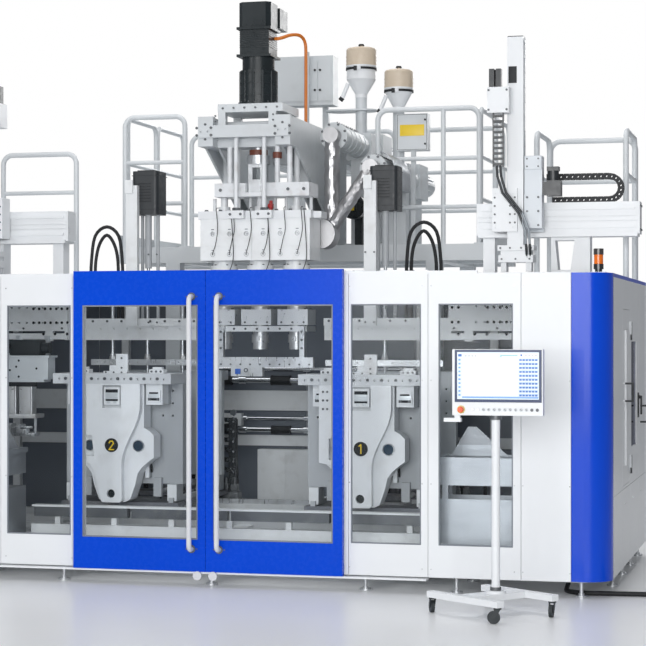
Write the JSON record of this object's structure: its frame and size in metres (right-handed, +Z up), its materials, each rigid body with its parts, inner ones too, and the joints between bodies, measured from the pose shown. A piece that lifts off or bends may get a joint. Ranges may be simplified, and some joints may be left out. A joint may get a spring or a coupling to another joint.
{
  "type": "blow moulding machine",
  "caption": "Large extrusion blow moulding machine with white and blue enclosure, glazed sliding doors, clamp stations, top-mounted extruders and an operator panel on a rolling stand",
  "frame": {"origin": "floor level under the middle of the parison head, on the line where the two front doors meet, at the sole of the middle foot", "axes": "+X to the right along the front, +Y to the back, +Z up"},
  "size_m": [6.5867, 5.2062, 4.16],
  "materials": {
    "white_paint": "satin",
    "casting_paint": "satin",
    "blue_paint": "gloss",
    "clear_pane": "polished",
    "machined_steel": "brushed",
    "sheet_metal": "brushed",
    "grey_paint": "satin",
    "charcoal_plastic": "matte",
    "black_enamel": "satin",
    "black_plastic": "matte",
    "black_rubber": "matte",
    "beige_plastic": "satin",
    "orange_rubber": "satin",
    "orange_plastic": "gloss",
    "red_plastic": "gloss"
  },
  "bodies": {
    "machine": {"base_frame": "white_paint", "front_panels": "white_paint", "end_panels": "white_paint", "rear_and_roof_panels": "white_paint", "door_rails": "white_paint", "bed_frame": "white_paint", "blow_frames": "white_paint", "head_cap": "white_paint", "head_frame": "white_paint", "hoppers": "white_paint", "robot_beams": "white_paint", "hmi_stand": "white_paint", "corner_columns": "blue_paint", "window_panes": "clear_pane", "levelling_feet": "machined_steel", "shuttle_rails": "machined_steel", "discharge_chutes": "machined_steel", "dies": "machined_steel", "parison_cutter": "machined_steel", "drive_coupling": "machined_steel", "barrel_guard": "sheet_metal", "melt_pipe": "sheet_metal", "head_block": "grey_paint", "extruder_frame": "grey_paint", "platform": "grey_paint", "extruders": "grey_paint", "control_box": "grey_paint", "guard_rails": "grey_paint", "bed_beams": "charcoal_plastic", "drive_motor": "black_enamel", "blower": "black_enamel", "drag_chains": "black_plastic", "hose_loops": "black_rubber", "floor_cable": "black_rubber", "cable_coil": "black_rubber", "hopper_lids": "beige_plastic", "motor_cable": "orange_rubber", "signal_light": "orange_plastic"},
    "left_door": {"left_door": "blue_paint", "left_door_pane": "clear_pane"},
    "right_door": {"right_door": "blue_paint", "right_door_pane": "clear_pane"},
    "end_door": {"end_door": "white_paint"},
    "left_shuttle": {"left_shuttle": "machined_steel"},
    "right_shuttle": {"right_shuttle": "machined_steel"},
    "left_casting": {"left_casting": "casting_paint"},
    "right_casting": {"right_casting": "casting_paint"},
    "left_rear_platen": {"left_rear_platen": "machined_steel"},
    "right_rear_platen": {"right_rear_platen": "machined_steel"},
    "left_blow_head": {"left_blow_head": "machined_steel"},
    "right_blow_head": {"right_blow_head": "machined_steel"},
    "left_carriage": {"left_carriage": "white_paint"},
    "right_carriage": {"right_carriage": "white_paint"},
    "left_arm": {"left_arm": "white_paint"},
    "right_arm": {"right_arm": "white_paint"},
    "e_stop": {"e_stop": "red_plastic"},
    "caster_1": {"caster_1": "charcoal_plastic"},
    "caster_2": {"caster_2": "charcoal_plastic"},
    "caster_3": {"caster_3": "charcoal_plastic"},
    "caster_4": {"caster_4": "charcoal_plastic"}
  },
  "joints": [
    {"name": "left_door_slide", "type": "slide", "parent": "machine", "child": "left_door", "axis": [-1, 0, 0], "range_m": [0, 0.86]},
    {"name": "right_door_slide", "type": "slide", "parent": "machine", "child": "right_door", "axis": [1, 0, 0], "range_m": [0, 0.86]},
    {"name": "end_door_hinge", "type": "hinge", "parent": "machine", "child": "end_door", "pos_m": [2.7134, -0.05, 1.27], "axis": [0, 0, 1], "range_deg": [0, 100]},
    {"name": "left_shuttle_slide", "type": "slide", "parent": "machine", "child": "left_shuttle", "axis": [1, 0, 0], "range_m": [0, 0.45]},
    {"name": "right_shuttle_slide", "type": "slide", "parent": "machine", "child": "right_shuttle", "axis": [-1, 0, 0], "range_m": [0, 0.45]},
    {"name": "left_clamp_slide", "type": "slide", "parent": "left_shuttle", "child": "left_casting", "axis": [0, 1, 0], "range_m": [0, 0.22]},
    {"name": "left_rear_platen_slide", "type": "slide", "parent": "left_shuttle", "child": "left_rear_platen", "axis": [0, -1, 0], "range_m": [0, 0.22]},
    {"name": "left_blow_head_slide", "type": "slide", "parent": "machine", "child": "left_blow_head", "axis": [0, 0, -1], "range_m": [0, 0.3]},
    {"name": "right_clamp_slide", "type": "slide", "parent": "right_shuttle", "child": "right_casting", "axis": [0, 1, 0], "range_m": [0, 0.22]},
    {"name": "right_rear_platen_slide", "type": "slide", "parent": "right_shuttle", "child": "right_rear_platen", "axis": [0, -1, 0], "range_m": [0, 0.22]},
    {"name": "right_blow_head_slide", "type": "slide", "parent": "machine", "child": "right_blow_head", "axis": [0, 0, -1], "range_m": [0, 0.3]},
    {"name": "right_carriage_slide", "type": "slide", "parent": "machine", "child": "right_carriage", "axis": [1, 0, 0], "range_m": [-0.1, 0.5]},
    {"name": "left_carriage_slide", "type": "slide", "parent": "machine", "child": "left_carriage", "axis": [1, 0, 0], "range_m": [-0.15, 0.42]},
    {"name": "right_arm_slide", "type": "slide", "parent": "right_carriage", "child": "right_arm", "axis": [0, 0, -1], "range_m": [0, 0.5]},
    {"name": "left_arm_slide", "type": "slide", "parent": "left_carriage", "child": "left_arm", "axis": [0, 0, -1], "range_m": [0, 0.5]},
    {"name": "e_stop_push", "type": "slide", "parent": "machine", "child": "e_stop", "axis": [0, 1, 0], "range_m": [0, 0.006], "stiffness_N_per_m": 900},
    {"name": "caster_1_swivel", "type": "hinge", "parent": "machine", "child": "caster_1", "pos_m": [1.98584, -1.82307, 0.1], "axis": [0, 0, 1], "continuous": true},
    {"name": "caster_2_swivel", "type": "hinge", "parent": "machine", "child": "caster_2", "pos_m": [1.71262, -2.18565, 0.1], "axis": [0, 0, 1], "continuous": true},
    {"name": "caster_3_swivel", "type": "hinge", "parent": "machine", "child": "caster_3", "pos_m": [2.16816, -2.52893, 0.1], "axis": [0, 0, 1], "continuous": true},
    {"name": "caster_4_swivel", "type": "hinge", "parent": "machine", "child": "caster_4", "pos_m": [2.44138, -2.16635, 0.1], "axis": [0, 0, 1], "continuous": true}
  ],
  "couplings": [
    {"joint": "left_rear_platen_slide", "follows": "left_clamp_slide", "ratio": 1},
    {"joint": "right_rear_platen_slide", "follows": "right_clamp_slide", "ratio": 1}
  ]
}
